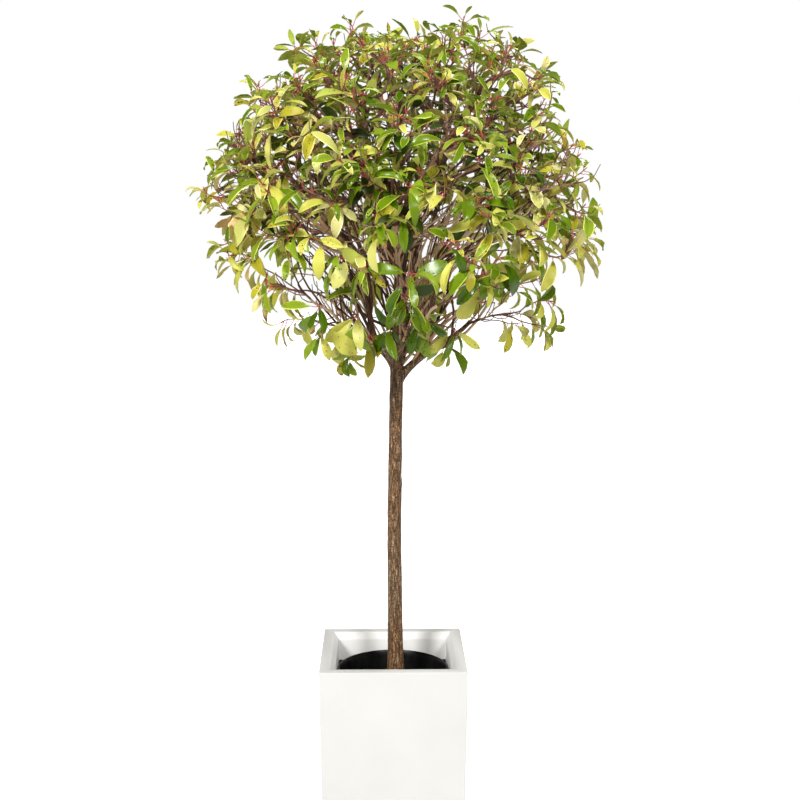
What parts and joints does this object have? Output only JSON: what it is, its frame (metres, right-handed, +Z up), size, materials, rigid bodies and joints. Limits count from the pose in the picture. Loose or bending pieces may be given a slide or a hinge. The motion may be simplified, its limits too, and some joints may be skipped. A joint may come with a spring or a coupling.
{
  "type": "potted photinia standard topiary",
  "caption": "Evergreen shrub trained as a standard, with a clipped ball of leafy shoots on one clear stem, in a round grower pot inside a white square planter.",
  "frame": {"origin": "centre of the planter's flat underside", "axes": "+Z up along the stem, +X to the right and -Y towards the viewer of the picture"},
  "size_m": [1.1108, 1.1156, 2.1522],
  "materials": {
    "planter_shell": "smooth matt off-white moulding",
    "pot_shell": "thin black nursery pot with a slight sheen",
    "soil": "dark damp peat",
    "bark": "brown bark with grey streaks",
    "leaf": "leathery leaf, olive to mid green"
  },
  "bodies": {
    "root": {"planter": "planter_shell", "grower_pot": "pot_shell", "potting_soil": "soil", "trunk": "bark", "bough_01": "bark", "bough_02": "bark", "bough_03": "bark", "bough_04": "bark", "bough_05": "bark", "bough_06": "bark", "bough_07": "bark", "bough_08": "bark", "bough_09": "bark", "bough_10": "bark", "bough_11": "bark", "bough_12": "bark", "bough_13": "bark", "bough_14": "bark", "bough_15": "bark", "bough_16": "bark", "foliage_01": "leaf", "foliage_02": "leaf", "foliage_03": "leaf", "foliage_04": "leaf", "foliage_05": "leaf", "foliage_06": "leaf", "foliage_07": "leaf", "foliage_08": "leaf", "foliage_09": "leaf", "foliage_10": "leaf", "foliage_11": "leaf", "foliage_12": "leaf", "foliage_13": "leaf", "foliage_14": "leaf", "foliage_15": "leaf", "foliage_16": "leaf"}
  },
  "joints": []
}
